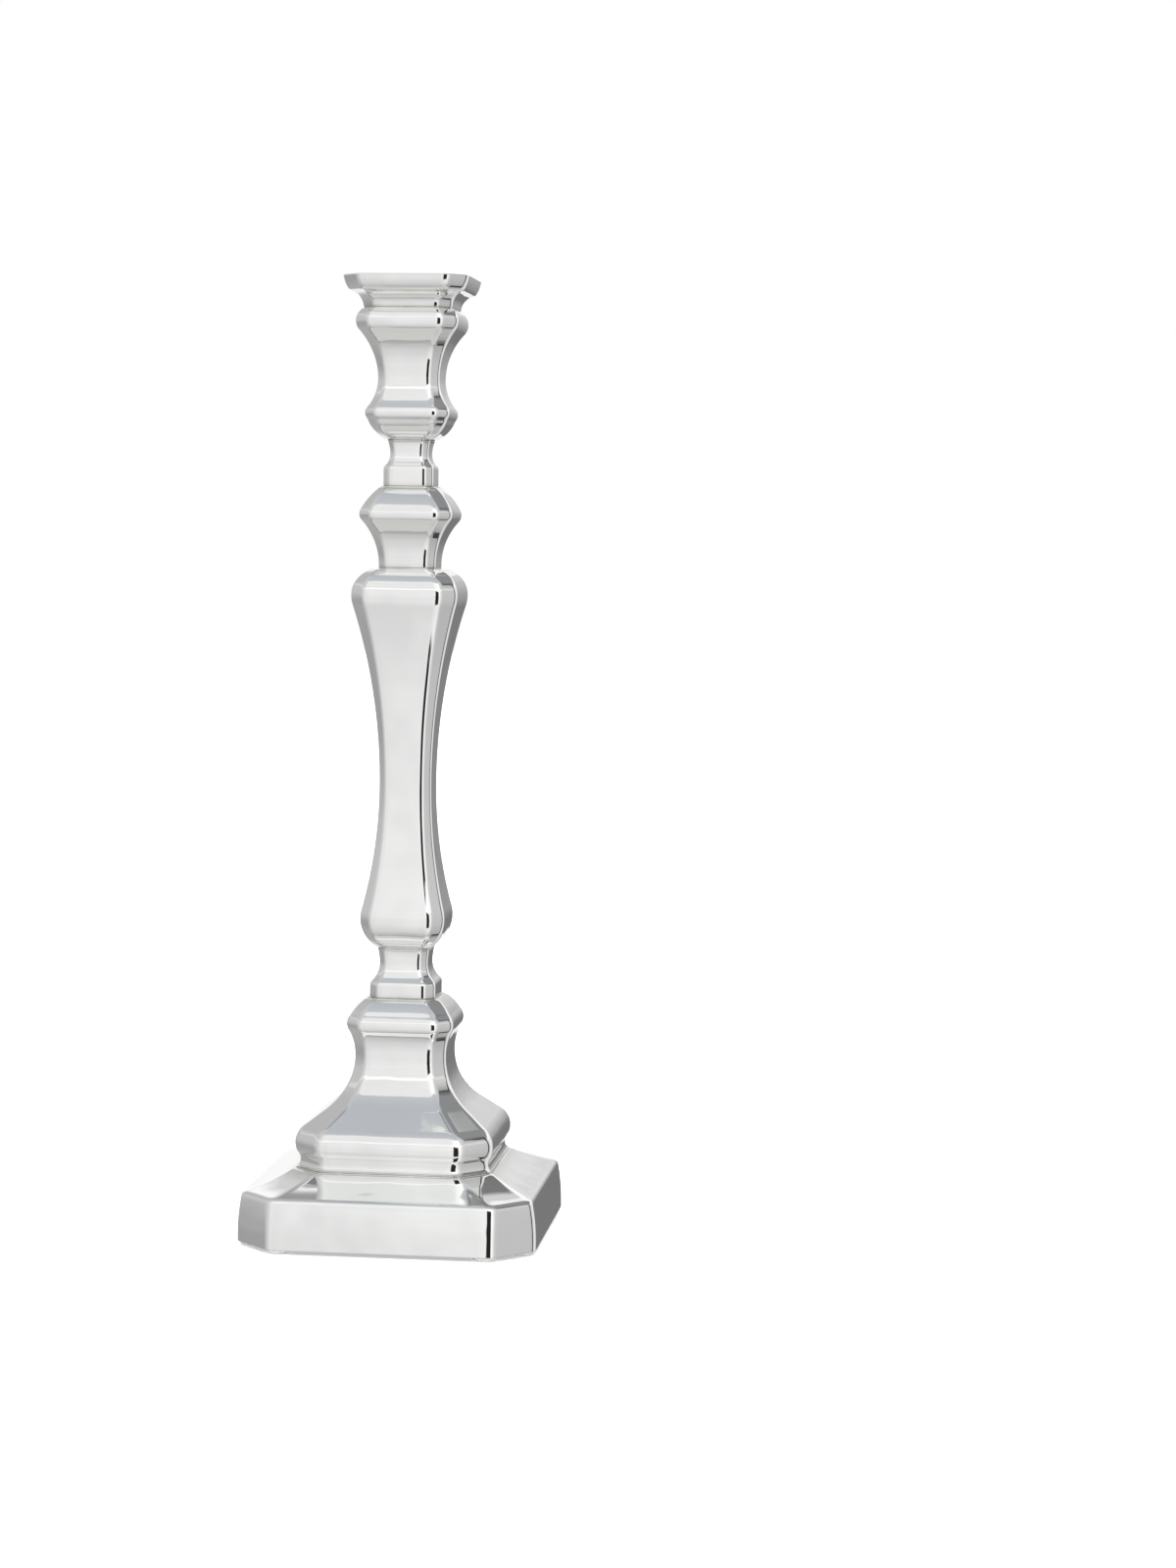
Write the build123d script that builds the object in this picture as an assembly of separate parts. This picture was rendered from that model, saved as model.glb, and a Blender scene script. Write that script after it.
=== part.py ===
"""Cut-corner candlestick with a lift-out nozzle, in millimetres.

The stick is a stack of hollow cast sections, clamped on one tie rod between a nut
soldered in the socket and a nut under the weighted base. +Z is up. The origin is the
centre of the plane that the feet stand on. The front face looks towards -Y.

Every section is a square with cut corners in plan, so each is drawn as two side
outlines: one across the flats and one across the corners. An outline is a list of
(half width, height, radius) from top to bottom. The radius is that of the arc that
arrives at the point: plus bulges out, minus hollows in, and 0 is a straight line.
"""
from build123d import *
from math import atan2, degrees, hypot, sqrt
import os

os.makedirs("parts", exist_ok=True)

# Driving dimensions
TOTAL_HEIGHT = 355.0
CORNER_CUT = 0.285          # leg of the cut corner, as a share of the half width
WALL = 1.5                  # horizontal wall of the hollow sections
WEB = 2.0                   # plates that close the ends of each section

CANDLE_BORE_R = 11.1        # takes a 22 mm dinner candle
SHEET = 0.7                 # sheet metal of the sleeve and the cup
LIFT_GAP = 0.25             # radial play of the sleeve in the cup
SLEEVE_BOTTOM = 331.2
CUP_DROP = 0.5              # the sleeve stops this far above the floor of the cup
LIP_WIDTH = 1.5
LIP_HEIGHT = 0.8

ROD_R = 3.0
ROD_HOLE_R = 3.3
THREAD_HOLE_R = 3.02
ROD_END = 0.6               # how far the rod stands out of each nut
NUT_FLATS = 10.0
NUT_HEIGHT = 5.0
WASHER_R = 9.0
WASHER_HEIGHT = 1.6
LOCK_WASHER_R = 5.9
LOCK_WASHER_HEIGHT = 1.6
SPLIT_WIDTH = 0.5
SPLIT_SLANT = 30.0          # degrees from upright
SPLIT_INSET = 0.3           # the split starts this far inside the hole

FOOT_R = 4.75
FOOT_HEIGHT = 1.5
FOOT_NEAR = 38.0            # a foot is this far from one centre line
FOOT_FAR = 49.6             # and this far from the other
COVER_THICKNESS = 1.5
COVER_PLAY = 0.3
ACCESS_R = 12.0             # hole in the cover, and pocket in the weight, for the nut
POCKET_TOP = 13.0

# Heights of the joints between the sections
NOZZLE_SEAT = 343.5
SOCKET_FOOT = 295.4
NECK_FOOT = 278.4
KNOP_FOOT = 248.4
STEM_FOOT = 106.8
COLLAR_FOOT = 88.6
PEDESTAL_FOOT = 27.0

# Outlines across the flats
DRIP_PAN = [
    (23.3, TOTAL_HEIGHT, 0),
    (21.3, 349.5, 12),
    (16.5, NOZZLE_SEAT, -6.2),
]
SOCKET = [
    (16.5, NOZZLE_SEAT, 0),
    (17.55, 334.7, 5.8),
    (11.5, 317.8, -26.8),
    (15.2, 307.2, -17),
    (14.9, 302.8, 3.6),
    (8.2, SOCKET_FOOT, 12),
]
NECK_COLLAR = [
    (8.1, SOCKET_FOOT, 0),
    (7.15, 290.3, -15.8),
    (9.1, 285.8, -6.2),
    (9.4, 285.2, 0),
    (9.4, NECK_FOOT, 0),
]
KNOP = [
    (10.2, NECK_FOOT, 0),
    (17.1, 269.6, 24),
    (16.6, 265.6, 4),
    (10.72, 249.5, -25.1),
    (10.72, KNOP_FOOT, 0),
]
STEM = [
    (10.8, KNOP_FOOT, 0),
    (19.87, 238.3, 10),
    (19.4, 234.7, 13),
    (9.78, 168.0, -236),
    (15.35, 122.0, -192),
    (9.9, STEM_FOOT, 13.8),
]
LOWER_COLLAR = [
    (9.85, STEM_FOOT, 0),
    (9.1, 101.0, -24),
    (12.0, 94.4, -9.2),
    (12.4, 93.7, 0),
    (12.4, COLLAR_FOOT, 0),
]
PEDESTAL = [
    (13.2, COLLAR_FOOT, 0),
    (18.7, 82.6, 16),
    (19.3, 76.3, 5.2),
    (17.15, 67.0, -20),
    (25.8, 48.7, -23.2),
    (33.2, 43.1, 0),
    (36.35, 32.6, 8.6),
    (35.2, 29.4, -5),
    (36.5, PEDESTAL_FOOT, -2.9),
]
# The plinth's corners are cut less at the top than at the bottom, so it has an
# outline of its own across the corners.
PLINTH = [
    (36.6, PEDESTAL_FOOT, 0),
    (52.8, 20.1, -70),
    (53.9, 18.6, 1.8),
    (55.25, 4.5, 75),
    (55.25, FOOT_HEIGHT, 0),
]
PLINTH_CORNERS = [
    (44.4, PEDESTAL_FOOT, 0),
    (65.5, 20.1, -90),
    (67.1, 18.5, 2.2),
    (68.15, 4.5, 95),
    (68.15, FOOT_HEIGHT, 0),
]
PLINTH_CAVITY = [
    (36.8, PEDESTAL_FOOT - WEB, 0),
    (50.6, 18.5, -70),
    (52.2, 16.9, 0),
    (53.7, 4.5, 0),
    (53.7, FOOT_HEIGHT, 0),
]
PLINTH_CAVITY_CORNERS = [
    (44.8, PEDESTAL_FOOT - WEB, 0),
    (62.9, 18.5, -90),
    (65.0, 16.9, 0),
    (66.5, 4.5, 0),
    (66.5, FOOT_HEIGHT, 0),
]
WEIGHT_PLAY = 0.6           # gap between the weight and the plinth's wall
DISH = [(21.9, TOTAL_HEIGHT, 0), (20.9, 353.4, -1.6)]
DISH_FLOOR = DISH[-1][1]
PAN_PLATE_BOTTOM = 351.2

CUP_BORE_R = CANDLE_BORE_R + SHEET + LIFT_GAP
REACH = 90.0                # longer than any section is wide


def arc_middle(start, end, radius):
    """The middle of the arc, on the outer side of its chord when radius is plus."""
    chord_x = end[0] - start[0]
    chord_z = end[1] - start[1]
    chord = hypot(chord_x, chord_z)
    rise = abs(radius) - sqrt(radius**2 - (chord / 2) ** 2)
    side = rise / chord if radius > 0 else -rise / chord
    middle_x = (start[0] + end[0]) / 2 - chord_z * side
    middle_z = (start[1] + end[1]) / 2 + chord_x * side
    return middle_x, middle_z


def outline_face(outline, spread=1.0):
    """The closed face of an outline and its mirror image, spread sideways."""
    edges = []
    for (x0, z0, _), (x1, z1, radius) in zip(outline, outline[1:]):
        if radius:
            middle = arc_middle((x0, z0), (x1, z1), radius)
            points = [(x0, z0), middle, (x1, z1)]
        else:
            points = [(x0, z0), (x1, z1)]
        for side in (spread, -spread):
            sided = [(x * side, z) for x, z in points]
            edges.append(ThreePointArc(*sided) if radius else Line(*sided))
    for x, z, _ in (outline[0], outline[-1]):
        edges.append(Line((-x * spread, z), (x * spread, z)))
    return make_face(edges)


def cut_corner_solid(flats, corners=None):
    """The solid that shows one outline across its flats and one across its corners."""
    upright = Plane(origin=(0, 0, 0), x_dir=(1, 0, 0), z_dir=(0, -1, 0))
    if corners:
        corner_face = outline_face(corners)
    else:
        corner_face = outline_face(flats, (2 - CORNER_CUT) / sqrt(2))
    across_flats = extrude(upright * outline_face(flats), amount=REACH, both=True)
    across_corners = extrude(upright * corner_face, amount=REACH, both=True)
    solid = across_flats & (Rot(0, 0, 90) * across_flats)
    solid = solid & (Rot(0, 0, 45) * across_corners)
    return solid & (Rot(0, 0, 135) * across_corners)


def moved_in(outline, amount):
    """The same outline, moved towards the axis."""
    return [(x - amount, z, radius) for x, z, radius in outline]


def slab(bottom, top):
    """Everything between two heights."""
    height = top - bottom
    return Pos(0, 0, (bottom + top) / 2) * Box(2 * REACH, 2 * REACH, height)


def rod_between(radius, bottom, top):
    """An upright cylinder on the axis."""
    return Pos(0, 0, (bottom + top) / 2) * Cylinder(radius, top - bottom)


def hollow_section(outline, top_hole_r=ROD_HOLE_R):
    """A cast section: thin wall, a plate at each end, and holes on the axis."""
    top = outline[0][1]
    bottom = outline[-1][1]
    cavity = cut_corner_solid(moved_in(outline, WALL)) & slab(bottom + WEB, top - WEB)
    section = cut_corner_solid(outline) - cavity
    section -= rod_between(ROD_HOLE_R, bottom - 1, bottom + WEB + 1)
    return section - rod_between(top_hole_r, top - WEB - 1, top + 1)


def drip_pan():
    """The pan: dished top, hollow neck, and a hole that the sleeve is soldered in."""
    hollow = cut_corner_solid(moved_in(DRIP_PAN, WALL))
    pan = cut_corner_solid(DRIP_PAN) - (hollow & slab(NOZZLE_SEAT - 1, PAN_PLATE_BOTTOM))
    pan -= cut_corner_solid(DISH)
    return pan - rod_between(CANDLE_BORE_R + SHEET, NOZZLE_SEAT, TOTAL_HEIGHT)


def nozzle_sleeve():
    """The closed tube that holds the candle, with a lip on the pan."""
    lip_top = DISH_FLOOR + LIP_HEIGHT
    outer_r = CANDLE_BORE_R + SHEET
    tube = rod_between(outer_r, SLEEVE_BOTTOM, lip_top)
    lip = rod_between(outer_r + LIP_WIDTH, DISH_FLOOR, lip_top)
    return tube + lip - rod_between(CANDLE_BORE_R, SLEEVE_BOTTOM + SHEET, lip_top)


def candle_cup():
    """The liner of the socket, which guides the sleeve."""
    floor_top = SLEEVE_BOTTOM - CUP_DROP
    cup = rod_between(CUP_BORE_R + SHEET, floor_top - SHEET, NOZZLE_SEAT)
    return cup - rod_between(CUP_BORE_R, floor_top, NOZZLE_SEAT)


def hex_nut(bottom):
    """A hexagon nut on the rod."""
    hexagon = RegularPolygon(NUT_FLATS / 2, 6, major_radius=False)
    nut = Pos(0, 0, bottom) * extrude(hexagon, amount=NUT_HEIGHT)
    return nut - rod_between(THREAD_HOLE_R, bottom, bottom + NUT_HEIGHT)


def flat_ring(radius, bottom, height):
    """A washer on the rod."""
    ring = rod_between(radius, bottom, bottom + height)
    return ring - rod_between(ROD_HOLE_R, bottom, bottom + height)


def split_washer(bottom):
    """A spring washer, flattened by the nut, with its slanted split."""
    ring = flat_ring(LOCK_WASHER_R, bottom, LOCK_WASHER_HEIGHT)
    split = Rot(0, SPLIT_SLANT, 0) * Box(SPLIT_WIDTH, LOCK_WASHER_R, 3 * LOCK_WASHER_HEIGHT)
    centre_y = ROD_HOLE_R - SPLIT_INSET + LOCK_WASHER_R / 2
    return ring - Pos(0, centre_y, bottom + LOCK_WASHER_HEIGHT / 2) * split


def plinth():
    """The foot casting: hollowed slopes on top, open underneath."""
    cavity = cut_corner_solid(PLINTH_CAVITY, PLINTH_CAVITY_CORNERS)
    shell = cut_corner_solid(PLINTH, PLINTH_CORNERS) - cavity
    return shell - rod_between(ROD_HOLE_R, PEDESTAL_FOOT - 2 * WEB, PEDESTAL_FOOT)


def base_weight():
    """The iron weight that fills the plinth, with a pocket for the nut."""
    flats = moved_in(PLINTH_CAVITY, WEIGHT_PLAY)
    corners = moved_in(PLINTH_CAVITY_CORNERS, WEIGHT_PLAY)
    cover_top = FOOT_HEIGHT + COVER_THICKNESS
    weight = cut_corner_solid(flats, corners) & slab(cover_top, PEDESTAL_FOOT)
    weight -= rod_between(ACCESS_R, cover_top, POCKET_TOP)
    return weight - rod_between(ROD_HOLE_R, POCKET_TOP, PEDESTAL_FOOT)


def base_cover():
    """The steel plate that closes the plinth, with a hole to reach the nut."""
    flats = moved_in(PLINTH_CAVITY, COVER_PLAY)
    corners = moved_in(PLINTH_CAVITY_CORNERS, COVER_PLAY)
    cover_top = FOOT_HEIGHT + COVER_THICKNESS
    plate = cut_corner_solid(flats, corners) & slab(FOOT_HEIGHT, cover_top)
    return plate - rod_between(ACCESS_R, FOOT_HEIGHT, cover_top)


def foot_places():
    """Two feet at each cut corner, counted anticlockwise from the +X side."""
    places = []
    for sign_x in (1, -1):
        for sign_y in (1, -1):
            places.append((sign_x * FOOT_FAR, sign_y * FOOT_NEAR))
            places.append((sign_x * FOOT_NEAR, sign_y * FOOT_FAR))
    return sorted(places, key=lambda place: degrees(atan2(place[1], place[0])) % 360)


def foot(place):
    """A soft disc with a rounded lower edge."""
    disc = Pos(place[0], place[1], FOOT_HEIGHT / 2) * Cylinder(FOOT_R, FOOT_HEIGHT)
    lower_edge = disc.edges().group_by(Axis.Z)[0]
    return fillet(lower_edge, FOOT_HEIGHT / 3)


captive_nut_bottom = SOCKET_FOOT + WEB
washer_bottom = POCKET_TOP - WASHER_HEIGHT
lock_washer_bottom = washer_bottom - LOCK_WASHER_HEIGHT
bottom_nut_bottom = lock_washer_bottom - NUT_HEIGHT
rod_bottom = bottom_nut_bottom - ROD_END
rod_top = captive_nut_bottom + NUT_HEIGHT + ROD_END

nodes = {
    "drip_pan": drip_pan(),
    "nozzle_sleeve": nozzle_sleeve(),
    "socket": hollow_section(SOCKET, top_hole_r=CUP_BORE_R + SHEET),
    "candle_cup": candle_cup(),
    "captive_nut": hex_nut(captive_nut_bottom),
    "neck_collar": hollow_section(NECK_COLLAR),
    "knop": hollow_section(KNOP),
    "stem": hollow_section(STEM),
    "lower_collar": hollow_section(LOWER_COLLAR),
    "pedestal": hollow_section(PEDESTAL),
    "plinth": plinth(),
    "tie_rod": rod_between(ROD_R, rod_bottom, rod_top),
    "base_weight": base_weight(),
    "bottom_washer": flat_ring(WASHER_R, washer_bottom, WASHER_HEIGHT),
    "lock_washer": split_washer(lock_washer_bottom),
    "bottom_nut": hex_nut(bottom_nut_bottom),
    "base_cover": base_cover(),
}
for number, place in enumerate(foot_places(), start=1):
    nodes[f"foot_{number}"] = foot(place)

for name, shape in nodes.items():
    export_step(shape, f"parts/{name}.step")
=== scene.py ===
"""The looks of the cut-corner candlestick, built round its CAD frame.

The silver sections are remodelled as smooth shells with rounded corners, from the same
outlines as the CAD sections. An outline is a list of (half width, height, radius) in
millimetres from top to bottom. The radius is that of the arc that arrives at the point:
plus bulges out, minus hollows in, and 0 is a straight line.
"""
import math

import bpy
import numpy as np
from mathutils import Matrix, Vector


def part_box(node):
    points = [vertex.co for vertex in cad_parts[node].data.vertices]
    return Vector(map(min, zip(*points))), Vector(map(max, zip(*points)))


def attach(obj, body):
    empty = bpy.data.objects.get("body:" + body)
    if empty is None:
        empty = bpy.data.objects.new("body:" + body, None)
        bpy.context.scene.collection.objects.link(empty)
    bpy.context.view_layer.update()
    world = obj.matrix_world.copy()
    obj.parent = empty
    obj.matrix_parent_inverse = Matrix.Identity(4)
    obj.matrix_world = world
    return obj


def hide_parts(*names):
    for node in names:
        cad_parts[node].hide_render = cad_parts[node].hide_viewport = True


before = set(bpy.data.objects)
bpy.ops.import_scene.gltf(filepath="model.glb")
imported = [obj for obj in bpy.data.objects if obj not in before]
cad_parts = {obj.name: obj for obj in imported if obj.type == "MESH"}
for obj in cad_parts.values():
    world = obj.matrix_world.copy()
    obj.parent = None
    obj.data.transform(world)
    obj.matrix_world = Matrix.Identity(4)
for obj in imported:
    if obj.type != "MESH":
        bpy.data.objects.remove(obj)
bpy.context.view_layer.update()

scene = bpy.context.scene

MM = 0.001
CORNER_CUT = 0.285              # leg of the cut corner, as a share of the half width
TO_CORNERS = (2 - CORNER_CUT) / math.sqrt(2)     # so the cut corners are this far out
WALL = 1.5                      # horizontal wall of the sections
WEB = 2.0                       # plates that close the ends of each section
ROD_HOLE_R = 3.3
SEAM_ROUND = 0.35               # rounding of the rims where two sections meet
JOINT_SHADE_REACH = 1.1                # painted shade darkens the silver this near to such a joint
SHARP_ANGLE = 40                # degrees: steeper creases stay sharp
SOFTENING = 0.28                # spread of the rounding of every crease
INNER_SOFTENING = 0.6           # and of those inside a shell
TAIL = 4                        # the rounding reaches this many spreads out
STEP = 0.6                      # spacing of the rows of a shell
FINER = 4                       # outlines are first worked out this much finer
SIDES = 8
ARC_PARTS = 8                   # facets round each upright edge,
RIM_PARTS = 4                   # and round each rim
FLAT_SHARES = (0.04, 0.2, 0.5, 0.8, 0.96)
EDGE_R = 1.45                   # rounding of the upright edges of a section: this,
EDGE_GROWTH = 0.13              # and this share of its half width,
EDGE_SHARE = 0.30               # but at most this share
SEAT_EDGE_R = 3.0               # the plinth, where the pedestal stands on it,
PLINTH_EDGE_R = 5.2             # and at its sides
LEVEL = 0.01                    # points this near in height lie on one flat
FOOT_COUNT = 8


def height_of(node, end):
    """The lowest or highest point of a CAD node, in millimetres."""
    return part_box(node)[end][2] / MM


LOW, HIGH = 0, 1
TOTAL_HEIGHT = height_of("drip_pan", HIGH)
NOZZLE_SEAT = height_of("drip_pan", LOW)
SOCKET_FOOT = height_of("socket", LOW)
NECK_FOOT = height_of("neck_collar", LOW)
KNOP_FOOT = height_of("knop", LOW)
STEM_FOOT = height_of("stem", LOW)
COLLAR_FOOT = height_of("lower_collar", LOW)
PEDESTAL_FOOT = height_of("pedestal", LOW)
PLINTH_FOOT = height_of("plinth", LOW)
CUP_OUTER_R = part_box("candle_cup")[HIGH][0] / MM
SLEEVE_LIP_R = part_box("nozzle_sleeve")[HIGH][0] / MM
SHEET = 0.7                     # sheet metal of the sleeve and the cup
LIFT_GAP = 0.25                 # radial play of the sleeve in the cup
CUP_BORE_R = CUP_OUTER_R - SHEET
SLEEVE_OUTER_R = CUP_BORE_R - LIFT_GAP
CANDLE_BORE_R = SLEEVE_OUTER_R - SHEET

DRIP_PAN = [(23.3, TOTAL_HEIGHT, 0), (21.3, 349.5, 12), (16.5, NOZZLE_SEAT, -6.2)]
DISH_FLOOR = 353.4
DISH = [(21.9, TOTAL_HEIGHT, 0), (20.9, DISH_FLOOR, -1.6)]
DISH_FLAT = 1.5                 # the floor is drawn flat this far inside its edge
PAN_PLATE_BOTTOM = 351.2
SOCKET = [
    (16.5, NOZZLE_SEAT, 0), (17.55, 334.7, 5.8), (11.5, 317.8, -26.8),
    (15.2, 307.2, -17), (14.9, 302.8, 3.6), (8.2, SOCKET_FOOT, 12),
]
NECK_COLLAR = [
    (8.1, SOCKET_FOOT, 0), (7.15, 290.3, -15.8), (9.1, 285.8, -6.2),
    (9.4, 285.2, 0), (9.4, NECK_FOOT, 0),
]
KNOP = [
    (10.2, NECK_FOOT, 0), (17.1, 269.6, 24), (16.6, 265.6, 4),
    (10.72, 249.5, -25.1), (10.72, KNOP_FOOT, 0),
]
STEM = [
    (10.8, KNOP_FOOT, 0), (19.87, 238.3, 10), (19.4, 234.7, 13),
    (9.78, 168.0, -236), (15.35, 122.0, -192), (9.9, STEM_FOOT, 13.8),
]
LOWER_COLLAR = [
    (9.85, STEM_FOOT, 0), (9.1, 101.0, -24), (12.0, 94.4, -9.2),
    (12.4, 93.7, 0), (12.4, COLLAR_FOOT, 0),
]
PEDESTAL = [
    (13.2, COLLAR_FOOT, 0), (18.7, 82.6, 16), (19.3, 76.3, 5.2), (17.15, 67.0, -20),
    (25.8, 48.7, -23.2), (33.2, 43.1, 0), (36.35, 32.6, 8.6), (35.2, 29.4, -5),
    (36.5, PEDESTAL_FOOT, -2.9),
]
PLINTH = [
    (36.6, PEDESTAL_FOOT, 0), (52.8, 20.1, -70), (53.9, 18.6, 1.8),
    (55.25, 4.5, 75), (55.25, PLINTH_FOOT, 0),
]
PLINTH_CORNERS = [
    (44.4, PEDESTAL_FOOT, 0), (65.5, 20.1, -90), (67.1, 18.5, 2.2),
    (68.15, 4.5, 95), (68.15, PLINTH_FOOT, 0),
]
PLINTH_CAVITY = [
    (36.8, PEDESTAL_FOOT - WEB, 0), (50.6, 18.5, -70), (52.2, 16.9, 0),
    (53.7, 4.5, 0), (53.7, PLINTH_FOOT, 0),
]
PLINTH_CAVITY_CORNERS = [
    (44.8, PEDESTAL_FOOT - WEB, 0), (62.9, 18.5, -90), (65.0, 16.9, 0),
    (66.5, 4.5, 0), (66.5, PLINTH_FOOT, 0),
]


# --- Outlines and rings -------------------------------------------------------------

def arc_points(start, end, radius, step):
    """Points after start, up to end, along the arc or straight line between them."""
    start, end = np.array(start), np.array(end)
    chord = end - start
    length = np.linalg.norm(chord)
    count = max(2, int(math.ceil(length / step)))
    if not radius:
        shares = np.linspace(0, 1, count + 1)[1:, None]
        return start + chord * shares
    side = np.array([-chord[1], chord[0]]) / length * math.copysign(1, radius)
    radius = abs(radius)
    centre = (start + end) / 2 - side * math.sqrt(radius**2 - (length / 2) ** 2)
    half_angle = math.asin(length / 2 / radius)
    turns = np.linspace(-half_angle, half_angle, count + 1)[1:, None]
    return centre + radius * (np.cos(turns) * side + np.sin(turns) * chord / length)


def sampled(outline, step=STEP):
    """An outline as evenly spaced points, finer than the rows that are a step apart."""
    points = [np.array([outline[0][:2]])]
    for (x0, z0, _), (x1, z1, radius) in zip(outline, outline[1:]):
        points.append(arc_points((x0, z0), (x1, z1), radius, step / FINER))
    points = np.concatenate(points)
    along = np.concatenate([[0], np.cumsum(np.linalg.norm(np.diff(points, axis=0), axis=1))])
    places = np.linspace(0, along[-1], int(along[-1] / step * FINER) + 2)
    return np.stack([np.interp(places, along, points[:, i]) for i in (0, 1)], axis=1)


def softened(points, spread=SOFTENING, keep=FINER):
    """The same line with its creases a little rounded, thinned to one point in `keep`."""
    step = np.linalg.norm(points[1] - points[0])
    reach = int(TAIL * spread / step)
    offsets = np.arange(-reach, reach + 1)
    weights = np.exp(-0.5 * (offsets * step / spread) ** 2)
    weights /= weights.sum()
    before = 2 * points[0] - points[reach:0:-1]
    after = 2 * points[-1] - points[-2:-reach - 2:-1]
    padded = np.concatenate([before, points, after])
    smooth = sum(w * padded[i:i + len(points)] for i, w in enumerate(weights))
    thin = list(range(0, len(points) - 1, keep)) + [len(points) - 1]
    return smooth[thin]


def rim(points, inward):
    """Rounds the two ends of an outline into the flat plates that close it."""
    quarter = np.linspace(0, math.pi / 2, RIM_PARTS + 1)
    top, bottom = points[0], points[-1]
    r = SEAM_ROUND
    above = [(top[0] - r + r * math.sin(t), top[1] - r + r * math.cos(t)) for t in quarter]
    below = [(bottom[0] - r + r * math.cos(t), bottom[1] + r - r * math.sin(t)) for t in quarter]
    middle = points[(points[:, 1] < top[1] - r) & (points[:, 1] > bottom[1] + r)]
    landing_top = [(top[0] - inward, top[1]), (top[0] - 2 * r, top[1])]
    landing_bottom = [(bottom[0] - 2 * r, bottom[1]), (bottom[0] - inward, bottom[1])]
    return np.array(landing_top + above + list(middle) + below + landing_bottom)


def ring(flats, corners, z, edge_r):
    """One level of a shell: a square with cut corners and rounded edges."""
    reaches = [flats - edge_r if side % 2 == 0 else corners - edge_r for side in range(SIDES)]
    side_turn = 2 * math.pi / SIDES
    angles = [side_turn * side for side in range(SIDES)]
    normals = [np.array([math.cos(t), math.sin(t)]) for t in angles]
    vertices = []
    for side in range(SIDES):
        following = (side + 1) % SIDES
        matrix = np.array([normals[side], normals[following]])
        vertices.append(np.linalg.solve(matrix, [reaches[side], reaches[following]]))
    points = []
    for side in range(SIDES):
        start = vertices[side - 1] + edge_r * normals[side]
        end = vertices[side] + edge_r * normals[side]
        points += [start + share * (end - start) for share in FLAT_SHARES]
        for turn in np.linspace(angles[side], angles[side] + side_turn, ARC_PARTS + 1):
            points.append(vertices[side] + edge_r * np.array([math.cos(turn), math.sin(turn)]))
    points = np.array(points)
    return np.column_stack([points, np.full(len(points), z)])


# the directions of a ring's points, so that circles line up with rings
RING_ANGLES = np.arctan2(*ring(1, TO_CORNERS, z=0, edge_r=0.2)[:, 1::-1].T)


def circle(radius, z):
    """A round level with as many points as a ring."""
    return np.column_stack([
        radius * np.cos(RING_ANGLES), radius * np.sin(RING_ANGLES), np.full(len(RING_ANGLES), z)])


def section_ring(half_width, z):
    """A level of a section above the plinth."""
    edge_r = min(EDGE_R + EDGE_GROWTH * half_width, EDGE_SHARE * half_width)
    return ring(half_width, TO_CORNERS * half_width, z, edge_r)


# --- Meshes -------------------------------------------------------------------------

def mesh_piece(name, rows, material, poles=()):
    """A piece from rows of points that go round it, joined row to row.

    The last row joins the first, unless two poles close the ends.
    """
    count = len(rows[0])
    vertices = np.concatenate([*rows, *[[pole] for pole in poles]]) * MM
    faces = []
    pairs = [(i, i + 1) for i in range(len(rows) - 1)]
    if not poles:
        pairs.append((len(rows) - 1, 0))
    last = (len(rows) - 1) * count
    first_pole, last_pole = len(vertices) - 2, len(vertices) - 1
    for i in range(count):
        j = (i + 1) % count
        for upper, lower in pairs:
            above, below = upper * count, lower * count
            faces.append((above + j, above + i, below + i, below + j))
        if poles:
            faces.append((first_pole, i, j))
            faces.append((last + j, last + i, last_pole))
    mesh = bpy.data.meshes.new(name)
    mesh.from_pydata(vertices.tolist(), [], faces)
    mesh.update()
    mesh.shade_smooth()
    mesh.set_sharp_from_angle(angle=math.radians(SHARP_ANGLE))
    piece = bpy.data.objects.new(name, mesh)
    scene.collection.objects.link(piece)
    mesh.materials.append(material)
    return piece


def finish_piece(piece, cad_node, body):
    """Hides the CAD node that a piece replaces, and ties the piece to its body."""
    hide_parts(cad_node)
    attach(piece, body)


def mark_joint_shade(piece, heights):
    """Stores how close each vertex is to a joint, for the painted shade, with a tarnish tint,
    that darkens the silver there.
    """
    z = np.array([v.co.z for v in piece.data.vertices]) / MM
    near = np.zeros(len(z))
    for height in heights:
        near = np.maximum(near, np.exp(-((z - height) / JOINT_SHADE_REACH) ** 2))
    # painted shade near the joints, kept on the vertices for the silver material
    joint_shade = piece.data.attributes.new("joint_shade", "FLOAT", "POINT")
    joint_shade.data.foreach_set("value", near.astype(np.float32))


def inside_of(outline, ceiling, floor, step, clearance):
    """The outer line of a hollow, from a little below its ceiling to above its floor."""
    line = softened(sampled(outline, step), spread=INNER_SOFTENING, keep=2)
    return line[(line[:, 1] < ceiling - clearance) & (line[:, 1] > floor + clearance)]


def section_shell(name, outline, material, top_hole_r):
    """A hollow section with a plate at each end."""
    top, bottom = outline[0][1], outline[-1][1]
    outer = rim(softened(sampled(outline)), inward=WALL)
    inner = inside_of(outline, top - WEB, bottom + WEB, step=2.0, clearance=0.5)
    rows = [circle(top_hole_r, top)]
    rows += [section_ring(x, z) for x, z in outer]
    rows += [circle(ROD_HOLE_R, bottom), circle(ROD_HOLE_R, bottom + WEB)]
    rows.append(section_ring(inner[-1][0] - WALL, bottom + WEB))
    rows += [section_ring(x - WALL, z) for x, z in inner[::-1]]
    rows.append(section_ring(inner[0][0] - WALL, top - WEB))
    rows.append(circle(top_hole_r, top - WEB))
    piece = mesh_piece(name, rows, material)
    mark_joint_shade(piece, (top, bottom))
    return piece


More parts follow.
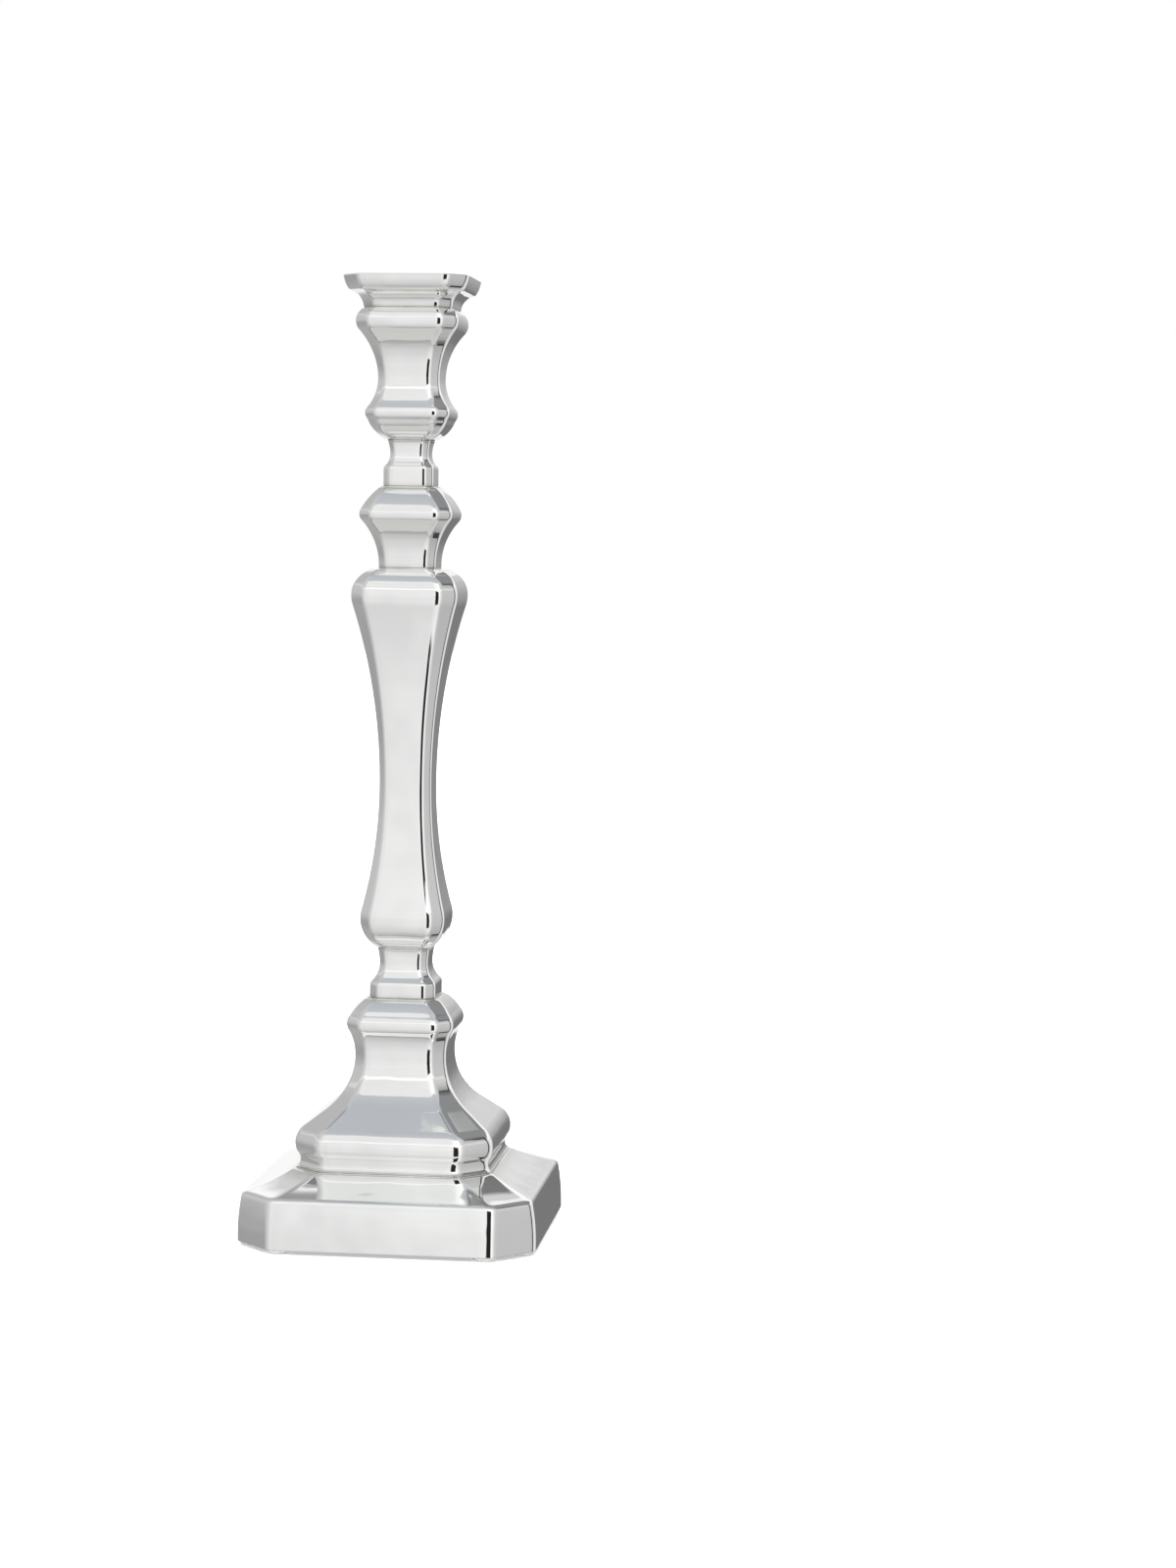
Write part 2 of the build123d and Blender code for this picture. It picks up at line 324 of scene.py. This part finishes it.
def drip_pan_shell(material):
    """The pan: rounded rim, shallow dish, hollow neck."""
    outer = rim(softened(sampled(DRIP_PAN)), inward=WALL)
    outer_without_top = outer[2:]
    inner = inside_of(DRIP_PAN, PAN_PLATE_BOTTOM, NOZZLE_SEAT, step=1.6, clearance=0.3)
    rows = [circle(SLEEVE_OUTER_R, DISH_FLOOR)]
    rows.append(section_ring(DISH[1][0] - DISH_FLAT, DISH_FLOOR))
    rows += [section_ring(x, z) for x, z in sampled(DISH, step=0.5)[::-1]]
    rows += [section_ring(x, z) for x, z in outer_without_top]
    rows += [section_ring(x - WALL, z) for x, z in inner[::-1]]
    rows.append(section_ring(inner[0][0] - WALL, PAN_PLATE_BOTTOM))
    rows.append(circle(SLEEVE_OUTER_R, PAN_PLATE_BOTTOM))
    piece = mesh_piece("drip_pan_shell", rows, material)
    mark_joint_shade(piece, (NOZZLE_SEAT,))
    return piece


def plinth_shell(material):
    """The foot: hollowed slopes on top, upright sides, open underneath."""
    flats = rim(softened(sampled(PLINTH)), inward=WALL)
    corners = rim(softened(sampled(PLINTH_CORNERS)), inward=WALL)
    seat, seat_corners = PLINTH[0][0], PLINTH_CORNERS[0][0]
    slope_height = PEDESTAL_FOOT - PLINTH[1][1]
    rows = [circle(ROD_HOLE_R, PEDESTAL_FOOT)]
    for half_width, z in flats:
        share = np.clip((PEDESTAL_FOOT - z) / slope_height, 0, 1)
        edge_r = SEAT_EDGE_R + (PLINTH_EDGE_R - SEAT_EDGE_R) * share
        corner = np.interp(-z, -corners[:, 1], corners[:, 0])
        if z > PEDESTAL_FOOT - LEVEL:
            corner = half_width - seat + seat_corners
        rows.append(ring(half_width, corner, z, edge_r))
    cavity = sampled(PLINTH_CAVITY, step=1.5)[::-FINER]
    cavity_corners = sampled(PLINTH_CAVITY_CORNERS, step=1.5)
    for half_width, z in cavity:
        corner = np.interp(-z, -cavity_corners[:, 1], cavity_corners[:, 0])
        rows.append(ring(half_width, corner, z, SEAT_EDGE_R))
    rows.append(circle(ROD_HOLE_R, PEDESTAL_FOOT - WEB))
    piece = mesh_piece("plinth_shell", rows, material)
    mark_joint_shade(piece, (PEDESTAL_FOOT,))
    return piece


def lathe(name, outline, material, centre=(0, 0)):
    """A round piece from a line of (radius, height) that begins and ends on its axis."""
    axis = np.array([*centre, 0])
    rows = [circle(r, z) + axis for r, z in outline[1:-1]]
    poles = [axis + (0, 0, z) for z in (outline[0][1], outline[-1][1])]
    return mesh_piece(name, rows, material, poles)


def round_corner(x, z, r, start, end, parts=6):
    """Points of the turn about (x, z) from one angle to another, in degrees."""
    turns = np.linspace(math.radians(start), math.radians(end), parts + 1)
    return [(x + r * math.cos(t), z + r * math.sin(t)) for t in turns]


def sleeve_mesh(material):
    """The closed tube that holds the candle, with its rolled lip."""
    low = height_of("nozzle_sleeve", LOW)
    lip_top = height_of("nozzle_sleeve", HIGH)
    lip_r = (lip_top - DISH_FLOOR) / 2
    outer_r, solder, bend_r = 0.6, 0.1, 0.5
    outline = [(0, low)]
    outline += round_corner(SLEEVE_OUTER_R - outer_r, low + outer_r, outer_r, -90, 0)
    outline += [(SLEEVE_OUTER_R, DISH_FLOOR - solder), (SLEEVE_OUTER_R + solder, DISH_FLOOR)]
    outline += round_corner(SLEEVE_LIP_R - lip_r, lip_top - lip_r, lip_r, -90, 90, 8)
    outline += round_corner(CANDLE_BORE_R + bend_r, lip_top - bend_r, bend_r, 90, 180)
    outline += round_corner(CANDLE_BORE_R - bend_r, low + SHEET + bend_r, bend_r, 0, -90)
    outline += [(0, low + SHEET)]
    return lathe("sleeve_tube", outline, material)


def cup_mesh(material):
    """The liner of the socket."""
    low, high = height_of("candle_cup", LOW), height_of("candle_cup", HIGH)
    outer_r, brim_r, bend_r = 0.8, 0.2, 0.5
    outline = [(0, low)]
    outline += round_corner(CUP_OUTER_R - outer_r, low + outer_r, outer_r, -90, 0)
    outline += round_corner(CUP_OUTER_R - brim_r, high - brim_r, brim_r, 0, 90, 3)
    outline += round_corner(CUP_BORE_R + brim_r, high - brim_r, brim_r, 90, 180, 3)
    outline += round_corner(CUP_BORE_R - bend_r, low + SHEET + bend_r, bend_r, 0, -90)
    outline += [(0, low + SHEET)]
    return lathe("cup_liner", outline, material)


def foot_mesh(cad_node, material):
    """A soft stick-on disc with a domed lower edge."""
    low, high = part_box(cad_node)
    centre = ((low[0] + high[0]) / 2 / MM, (low[1] + high[1]) / 2 / MM)
    radius = (high[0] - low[0]) / 2 / MM
    bottom, top = low[2] / MM, high[2] / MM
    bevel_width, bevel_height, dome_r, flat_inset = 0.3, 0.25, 0.7, 2.5
    outline = [(0, top), (radius - bevel_width, top), (radius, top - bevel_height)]
    outline += round_corner(radius - dome_r, bottom + dome_r, dome_r, 0, -90)
    outline += [(radius - flat_inset, bottom), (0, bottom)]
    return lathe(cad_node + "_disc", outline, material, centre)


# --- Materials ----------------------------------------------------------------------

def new_material(name):
    """A node material, with its tree and its shader."""
    material = bpy.data.materials.new(name)
    material.use_nodes = True
    tree = material.node_tree
    shader = tree.nodes["Principled BSDF"]
    return material, tree, shader


def node(tree, kind, **settings):
    """A new node with its settings."""
    made = tree.nodes.new(kind)
    for key, value in settings.items():
        if key in made.inputs:
            made.inputs[key].default_value = value
        else:
            setattr(made, key, value)
    return made


def ramp(tree, source, stops):
    """A colour ramp on a source, from (place, colour) stops."""
    made = tree.nodes.new("ShaderNodeValToRGB")
    elements = made.color_ramp.elements
    while len(elements) < len(stops):
        elements.new(0.5)
    for element, (place, colour) in zip(elements, stops):
        element.position = place
        element.color = (*colour, 1)
    tree.links.new(source, made.inputs["Fac"])
    return made.outputs["Color"]


def grey(value):
    """A grey as a colour."""
    return (value, value, value)


def noise(tree, place, scale, detail=3.0, roughness=0.5, stretch=(1, 1, 1)):
    """Noise in the object's own metres."""
    mapping = node(tree, "ShaderNodeMapping")
    mapping.inputs["Scale"].default_value = stretch
    made = node(tree, "ShaderNodeTexNoise", Scale=scale, Detail=detail, Roughness=roughness)
    tree.links.new(place, mapping.inputs["Vector"])
    tree.links.new(mapping.outputs["Vector"], made.inputs["Vector"])
    return made.outputs["Fac"]


def bump(tree, height, depth, before=None):
    """Relief of a depth in metres, on top of the relief before it."""
    made = node(tree, "ShaderNodeBump", Strength=1.0, Distance=depth)
    tree.links.new(height, made.inputs["Height"])
    if before:
        tree.links.new(before, made.inputs["Normal"])
    return made.outputs["Normal"]


# painted shade: the darker tint that the silver takes near the joints
JOINT_SHADE_TINT = (0.62, 0.60, 0.56, 1)
WAVE_DEPTH = 0.0003


def silver_material(name, colour, roughness, scratch_depth):
    """Polished silver plate: soft hand-made waves, wiping marks, painted shade with a tarnish
    tint in the joints.
    """
    material, tree, shader = new_material(name)
    place = node(tree, "ShaderNodeTexCoord").outputs["Object"]
    joint_shade = node(tree, "ShaderNodeAttribute", attribute_name="joint_shade").outputs["Fac"]
    shader.inputs["Metallic"].default_value = 1.0
    cloud = noise(tree, place, scale=28, detail=4)
    darker = tuple(c * 0.97 for c in colour)
    clean = ramp(tree, cloud, [(0.35, darker), (0.62, colour)])
    # painted shade: near the joints the base colour is mixed, in patches, towards the darker tint
    painted_joint_shade = node(tree, "ShaderNodeMix", data_type="RGBA")
    patchy = noise(tree, place, scale=160, detail=3)
    amount = node(tree, "ShaderNodeMath", operation="MULTIPLY")
    tree.links.new(joint_shade, amount.inputs[0])
    tree.links.new(patchy, amount.inputs[1])
    tree.links.new(amount.outputs[0], painted_joint_shade.inputs["Factor"])
    tree.links.new(clean, painted_joint_shade.inputs["A"])
    painted_joint_shade.inputs["B"].default_value = JOINT_SHADE_TINT
    tree.links.new(painted_joint_shade.outputs["Result"], shader.inputs["Base Color"])
    wiping = noise(tree, place, scale=700, detail=2, stretch=(1, 1, 0.07))
    rough = ramp(tree, wiping, [(0.3, grey(roughness * 0.7)), (0.75, grey(roughness * 1.6))])
    tree.links.new(rough, shader.inputs["Roughness"])
    waves = noise(tree, place, scale=55, detail=1)
    normal = bump(tree, waves, WAVE_DEPTH)
    scratches = noise(tree, place, scale=2600, detail=2, stretch=(1, 1, 0.05))
    normal = bump(tree, scratches, scratch_depth, before=normal)
    tree.links.new(normal, shader.inputs["Normal"])
    return material


def zinc_material():
    """Zinc-plated steel with faint crystals and turning marks."""
    material, tree, shader = new_material("zinc_steel")
    place = node(tree, "ShaderNodeTexCoord").outputs["Object"]
    shader.inputs["Metallic"].default_value = 1.0
    cloud = noise(tree, place, scale=400, detail=4)
    colour = ramp(tree, cloud, [(0.3, (0.42, 0.43, 0.44)), (0.7, (0.66, 0.66, 0.64))])
    tree.links.new(colour, shader.inputs["Base Color"])
    rough = ramp(tree, cloud, [(0.2, grey(0.28)), (0.8, grey(0.5))])
    tree.links.new(rough, shader.inputs["Roughness"])
    turned = noise(tree, place, scale=900, detail=1, stretch=(0.1, 0.1, 1.6))
    tree.links.new(bump(tree, turned, depth=0.00003), shader.inputs["Normal"])
    return material


def iron_material():
    """Rough cast iron with a little rust."""
    material, tree, shader = new_material("weight_iron")
    place = node(tree, "ShaderNodeTexCoord").outputs["Object"]
    shader.inputs["Metallic"].default_value = 0.6
    blotch = noise(tree, place, scale=90, detail=5)
    colour = ramp(tree, blotch, [
        (0.35, (0.08, 0.08, 0.085)), (0.55, (0.13, 0.12, 0.115)), (0.75, (0.2, 0.12, 0.07))])
    tree.links.new(colour, shader.inputs["Base Color"])
    rough = ramp(tree, blotch, [(0.3, grey(0.55)), (0.8, grey(0.85))])
    tree.links.new(rough, shader.inputs["Roughness"])
    grain = noise(tree, place, scale=1500, detail=3)
    tree.links.new(bump(tree, grain, depth=0.0002), shader.inputs["Normal"])
    return material


def paint_material():
    """Matt black paint on sheet, with the orange peel and rubbed spots of a base plate."""
    material, tree, shader = new_material("cover_paint")
    place = node(tree, "ShaderNodeTexCoord").outputs["Object"]
    worn = noise(tree, place, scale=60, detail=5, roughness=0.65)
    colour = ramp(tree, worn, [(0.3, (0.018, 0.018, 0.019)), (0.7, (0.045, 0.044, 0.042))])
    tree.links.new(colour, shader.inputs["Base Color"])
    rough = ramp(tree, worn, [(0.3, grey(0.42)), (0.7, grey(0.62))])
    tree.links.new(rough, shader.inputs["Roughness"])
    peel = noise(tree, place, scale=1100, detail=1)
    tree.links.new(bump(tree, peel, depth=0.00004), shader.inputs["Normal"])
    return material


def foot_material():
    """Clear soft plastic with a little dust in it."""
    material, tree, shader = new_material("foot_rubber")
    place = node(tree, "ShaderNodeTexCoord").outputs["Object"]
    dust = noise(tree, place, scale=500, detail=3)
    colour = ramp(tree, dust, [(0.4, (0.86, 0.86, 0.84)), (0.7, (0.91, 0.91, 0.89))])
    tree.links.new(colour, shader.inputs["Base Color"])
    rough = ramp(tree, dust, [(0.3, grey(0.26)), (0.8, grey(0.36))])
    tree.links.new(rough, shader.inputs["Roughness"])
    shader.inputs["Transmission Weight"].default_value = 0.45
    shader.inputs["IOR"].default_value = 1.45
    tree.links.new(bump(tree, dust, depth=0.000005), shader.inputs["Normal"])
    return material


silver = silver_material(
    "silver_plate", (0.945, 0.953, 0.94), roughness=0.03, scratch_depth=0.0000012)
sheet_silver = silver_material(
    "sheet_silver", (0.9, 0.885, 0.85), roughness=0.09, scratch_depth=0.0000036)
zinc = zinc_material()
iron = iron_material()
paint = paint_material()
rubber = foot_material()


# --- The pieces ---------------------------------------------------------------------

SECTIONS = {
    "socket": (SOCKET, CUP_OUTER_R),
    "neck_collar": (NECK_COLLAR, ROD_HOLE_R),
    "knop": (KNOP, ROD_HOLE_R),
    "stem": (STEM, ROD_HOLE_R),
    "lower_collar": (LOWER_COLLAR, ROD_HOLE_R),
    "pedestal": (PEDESTAL, ROD_HOLE_R),
}
for name, (outline, top_hole_r) in SECTIONS.items():
    shell = section_shell(name + "_shell", outline, silver, top_hole_r)
    finish_piece(shell, name, "stick")
finish_piece(drip_pan_shell(silver), "drip_pan", "nozzle")
finish_piece(plinth_shell(silver), "plinth", "stick")
finish_piece(sleeve_mesh(sheet_silver), "nozzle_sleeve", "nozzle")
finish_piece(cup_mesh(sheet_silver), "candle_cup", "stick")
for number in range(1, FOOT_COUNT + 1):
    node_name = f"foot_{number}"
    finish_piece(foot_mesh(node_name, rubber), node_name, "stick")

CAD_MATERIALS = {
    "captive_nut": zinc,
    "tie_rod": zinc,
    "bottom_washer": zinc,
    "lock_washer": zinc,
    "bottom_nut": zinc,
    "base_weight": iron,
    "base_cover": paint,
}
for name, material in CAD_MATERIALS.items():
    cad_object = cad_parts[name]
    for material_slot in cad_object.material_slots:
        material_slot.material = material


# --- Studio -------------------------------------------------------------------------

SWAY = 8.0                      # degrees: how far the tent's edges wander sideways,
SAG = 11.0                      # and up and down
FLOOR_R = 5.9                   # metres
FLOOR_SIDES = 96
DOME_R = 6.0
FLOOR_GLOW = 0.46               # light from under the white floor, which softens the shadow
SUN_ENERGY = 2.35
SUN_ANGLE = 70                  # degrees: wide, for a soft shadow
SUN_AIM = Vector((0.15, 0.3, -1.0))


def tent_world():
    """A light tent round the object, by direction: azimuth 0 is towards -Y, 90 towards +X."""
    world = bpy.data.worlds.new("tent")
    scene.world = world
    world.use_nodes = True
    tree = world.node_tree
    background = tree.nodes["Background"]
    direction = node(tree, "ShaderNodeTexCoord").outputs["Generated"]
    parts = node(tree, "ShaderNodeSeparateXYZ")
    tree.links.new(direction, parts.inputs[0])

    def maths(operation, *inputs):
        """The result of a maths node on sockets and numbers."""
        made = node(tree, "ShaderNodeMath", operation=operation)
        for socket, value in zip(made.inputs, inputs):
            if isinstance(value, (int, float)):
                socket.default_value = value
            else:
                tree.links.new(value, socket)
        return made.outputs[0]

    forward = maths("MULTIPLY", parts.outputs["Y"], -1.0)
    azimuth = maths("ARCTAN2", parts.outputs["X"], forward)
    azimuth = maths("MULTIPLY_ADD", azimuth, 0.5 / math.pi, 0.5)
    height = maths("ARCSINE", parts.outputs["Z"])
    height = maths("MULTIPLY_ADD", height, 1 / math.pi, 0.5)
    # the cloth of the tent hangs unevenly, so its edges wander a little
    sway = maths("SUBTRACT", noise(tree, direction, scale=6, detail=2), 0.5)
    sag = maths("SUBTRACT", noise(tree, direction, scale=9, detail=2), 0.5)
    azimuth = maths("MULTIPLY_ADD", sway, SWAY / 360, azimuth)
    height = maths("MULTIPLY_ADD", sag, SAG / 180, height)

    def around(degrees):
        """The place of an azimuth on a ramp."""
        return degrees / 360 + 0.5

    def upward(degrees):
        """The place of an angle above the horizon on a ramp."""
        return degrees / 180 + 0.5

    def greys(source, place_of, stops):
        """A ramp of greys, from (degrees, grey) stops."""
        return ramp(tree, source, [(place_of(degrees), grey(value)) for degrees, value in stops])

    walls = greys(azimuth, around, [
        (-179, 0.98), (-154, 1.08), (-138, 0.60), (-118, 0.56), (-99, 0.575), (-82, 0.60),
        (-67, 0.64), (-54, 0.70), (-42, 0.79), (-30, 0.885), (-18, 0.88), (-12, 0.86),
        (-8, 0.94), (-4, 1.0), (28, 1.12), (44, 1.08), (54, 0.82), (67, 0.66), (80, 0.61),
        (99, 0.56), (112, 0.66), (128, 0.94), (158, 0.92),
    ])

    def patch(sides, heights):
        """1 inside a patch of the tent, 0 outside, from (start, full, full, end) degrees."""
        across = greys(azimuth, around, zip(sides, (0, 1, 1, 0)))
        up = greys(height, upward, zip(heights, (0, 1, 1, 0)))
        return maths("MULTIPLY", across, up)

    # the darker parts of the tent, which give the silver its streaks and shading
    slit = patch((-4, 0, 29, 31), (-31, -29, 19, 21))
    side_slit = patch((96, 97, 105.4, 107.4), (-34, -30, 42, 48))
    side_low = patch((98.4, 99.9, 106.4, 108.4), (-52, -46, -35, -31))
    back_low = patch((140, 162, 180, 180.1), (-40, -16, -6, 19))
    left_low = patch((-150, -128, -92, -60), (-46, -20, -11, 2))
    left_high = patch((-175, -150, -122, -108), (16, 30, 50, 60))
    right_high = patch((90, 99, 150, 165), (30, 36, 72, 80))
    levels = greys(height, upward, [
        (-55.5, 0.46), (-54, 0.52), (-50, 0.65), (-43, 0.75), (-37, 0.80), (-29, 0.84),
        (-21, 0.89), (-4, 0.925), (14, 0.97), (22, 1.0), (24, 1.25), (27, 1.25),
        (29, 0.98), (54, 1.0),
    ])
    floor_share = greys(height, upward, [(-57, 1), (-56, 0)])
    ceiling_share = greys(height, upward, [(56, 0), (59, 1)])
    ceiling = ramp(tree, height, [
        (upward(58), (0.57, 0.59, 0.62)), (upward(70), (0.53, 0.55, 0.59)),
        (upward(84), (0.50, 0.52, 0.56)), (upward(86), (0.60, 0.60, 0.61)),
        (upward(87.5), (0.46, 0.48, 0.52)), (upward(90), (0.50, 0.52, 0.56)),
    ])
    floor = ramp(tree, height, [
        (upward(-90), (0.42, 0.42, 0.41)), (upward(-78), (0.56, 0.565, 0.55)),
        (upward(-68), (0.625, 0.63, 0.61)), (upward(-57), (0.63, 0.635, 0.615)),
    ])
    # from 0 straight behind the object to 1 straight before it
    facing = maths("MULTIPLY_ADD", forward, 0.5, 0.5)
    behind = ramp(tree, facing, [(0.30, grey(1)), (0.42, grey(0))])
    far_behind = ramp(tree, facing, [(0.185, grey(1)), (0.225, grey(0))])
    raised = greys(height, upward, [(32, 0), (37, 1)])
    back_high = maths("MULTIPLY", far_behind, raised)

    def mixed(share, first, second, blend="MIX"):
        """The first colour, with the second one over it where the share is 1."""
        made = node(tree, "ShaderNodeMix", data_type="RGBA", blend_type=blend)
        for name, value in (("Factor", share), ("A", first), ("B", second)):
            if isinstance(value, tuple):
                made.inputs[name].default_value = (*value, 1)
            elif isinstance(value, float):
                made.inputs[name].default_value = value
            else:
                tree.links.new(value, made.inputs[name])
        return made.outputs["Result"]

    room = mixed(1.0, walls, levels, "MULTIPLY")
    for share, dark in ((back_low, 0.19), (back_high, 0.20), (left_low, 0.36),
                        (left_high, 0.50), (slit, 0.02)):
        room = mixed(share, room, grey(dark))
    room = mixed(floor_share, room, floor)
    above = mixed(behind, ceiling, (0.22, 0.22, 0.23))
    room = mixed(ceiling_share, room, above)
    room = mixed(right_high, room, (0.27, 0.27, 0.28))
    room = mixed(side_slit, room, grey(0.03))
    room = mixed(side_low, room, grey(0.05))
    tree.links.new(room, background.inputs["Color"])
    background.inputs["Strength"].default_value = 1.0


def emission_material(name, strength):
    """A material that only gives off white light."""
    material = bpy.data.materials.new(name)
    material.use_nodes = True
    tree = material.node_tree
    tree.nodes.remove(tree.nodes["Principled BSDF"])
    light = node(tree, "ShaderNodeEmission", Strength=strength)
    tree.links.new(light.outputs[0], tree.nodes["Material Output"].inputs["Surface"])
    return material


def floor_disc(material):
    """The floor, which the silver doesn't mirror: the tent gives its own floor to it."""
    mesh = bpy.data.meshes.new("floor")
    turns = [2 * math.pi * i / FLOOR_SIDES for i in range(FLOOR_SIDES)]
    outline = [(FLOOR_R * math.cos(t), FLOOR_R * math.sin(t), 0) for t in turns]
    mesh.from_pydata(outline, [], [range(FLOOR_SIDES)])
    mesh.materials.append(material)
    disc = bpy.data.objects.new("floor", mesh)
    disc.visible_glossy = False
    scene.collection.objects.link(disc)


def backdrop_dome(material):
    """A white surround that only the camera sees, so that it leaves the reflections alone."""
    bpy.ops.mesh.primitive_uv_sphere_add(segments=48, ring_count=24, radius=DOME_R)
    dome = bpy.context.object
    dome.name = "backdrop_dome"
    dome.data.materials.append(material)
    dome.visible_glossy = False
    dome.visible_diffuse = False
    dome.visible_transmission = False
    dome.visible_shadow = False


def floor_light():
    """An even, very soft light over the floor, unseen in the silver."""
    data = bpy.data.lights.new("floor_light", "SUN")
    data.angle = math.radians(SUN_ANGLE)
    data.energy = SUN_ENERGY
    light = bpy.data.objects.new("floor_light", data)
    light.rotation_mode = "QUATERNION"
    light.rotation_quaternion = SUN_AIM.to_track_quat("-Z", "Y")
    light.visible_glossy = False
    scene.collection.objects.link(light)


def floor_material():
    """A matt white floor that is faintly clouded."""
    material, tree, shader = new_material("pale_floor")
    place = node(tree, "ShaderNodeTexCoord").outputs["Object"]
    cloud = noise(tree, place, scale=3, detail=2)
    pale = ramp(tree, cloud, [(0.3, grey(0.93)), (0.7, grey(0.95))])
    tree.links.new(pale, shader.inputs["Base Color"])
    tree.links.new(pale, shader.inputs["Emission Color"])
    shader.inputs["Emission Strength"].default_value = FLOOR_GLOW
    shader.inputs["Roughness"].default_value = 0.9
    shader.inputs["Specular IOR Level"].default_value = 0.0
    return material


CAMERA_AZIMUTH = 9.29           # degrees to the right of the front face
CAMERA_TURN = 3.18              # degrees: the aim passes this far beside the axis
CAMERA_PITCH = 4.41             # degrees downwards
CAMERA_ROLL = 0.81              # degrees
CAMERA_DISTANCE = 1.212         # metres from the axis
CAMERA_HEIGHT = 0.262           # metres above the floor
LENS = 74.6                     # focal length in millimetres


def photo_camera():
    """The camera at the photograph's viewing angle."""
    azimuth = math.radians(CAMERA_AZIMUTH)
    heading = math.radians(CAMERA_AZIMUTH - CAMERA_TURN)
    pitch, roll = math.radians(CAMERA_PITCH), math.radians(CAMERA_ROLL)
    level = Vector((-math.sin(heading), math.cos(heading), 0))
    right = Vector((math.cos(heading), math.sin(heading), 0))
    forward = level * math.cos(pitch) - Vector((0, 0, math.sin(pitch)))
    up = right.cross(forward)
    tilted_right = right * math.cos(roll) + up * math.sin(roll)
    tilted_up = up * math.cos(roll) - right * math.sin(roll)
    data = bpy.data.cameras.new("camera")
    data.lens = LENS
    data.clip_start = 0.05
    data.clip_end = 50
    camera = bpy.data.objects.new("camera", data)
    place = Vector((math.sin(azimuth), -math.cos(azimuth), 0)) * CAMERA_DISTANCE
    place.z = CAMERA_HEIGHT
    axes = Matrix((tilted_right, tilted_up, -forward)).transposed().to_4x4()
    camera.matrix_world = Matrix.Translation(place) @ axes
    scene.collection.objects.link(camera)
    scene.camera = camera


tent_world()
floor_disc(floor_material())
backdrop_dome(emission_material("white_surround", 1.0))
floor_light()
photo_camera()
scene.view_settings.view_transform = "Standard"
scene.view_settings.look = "None"
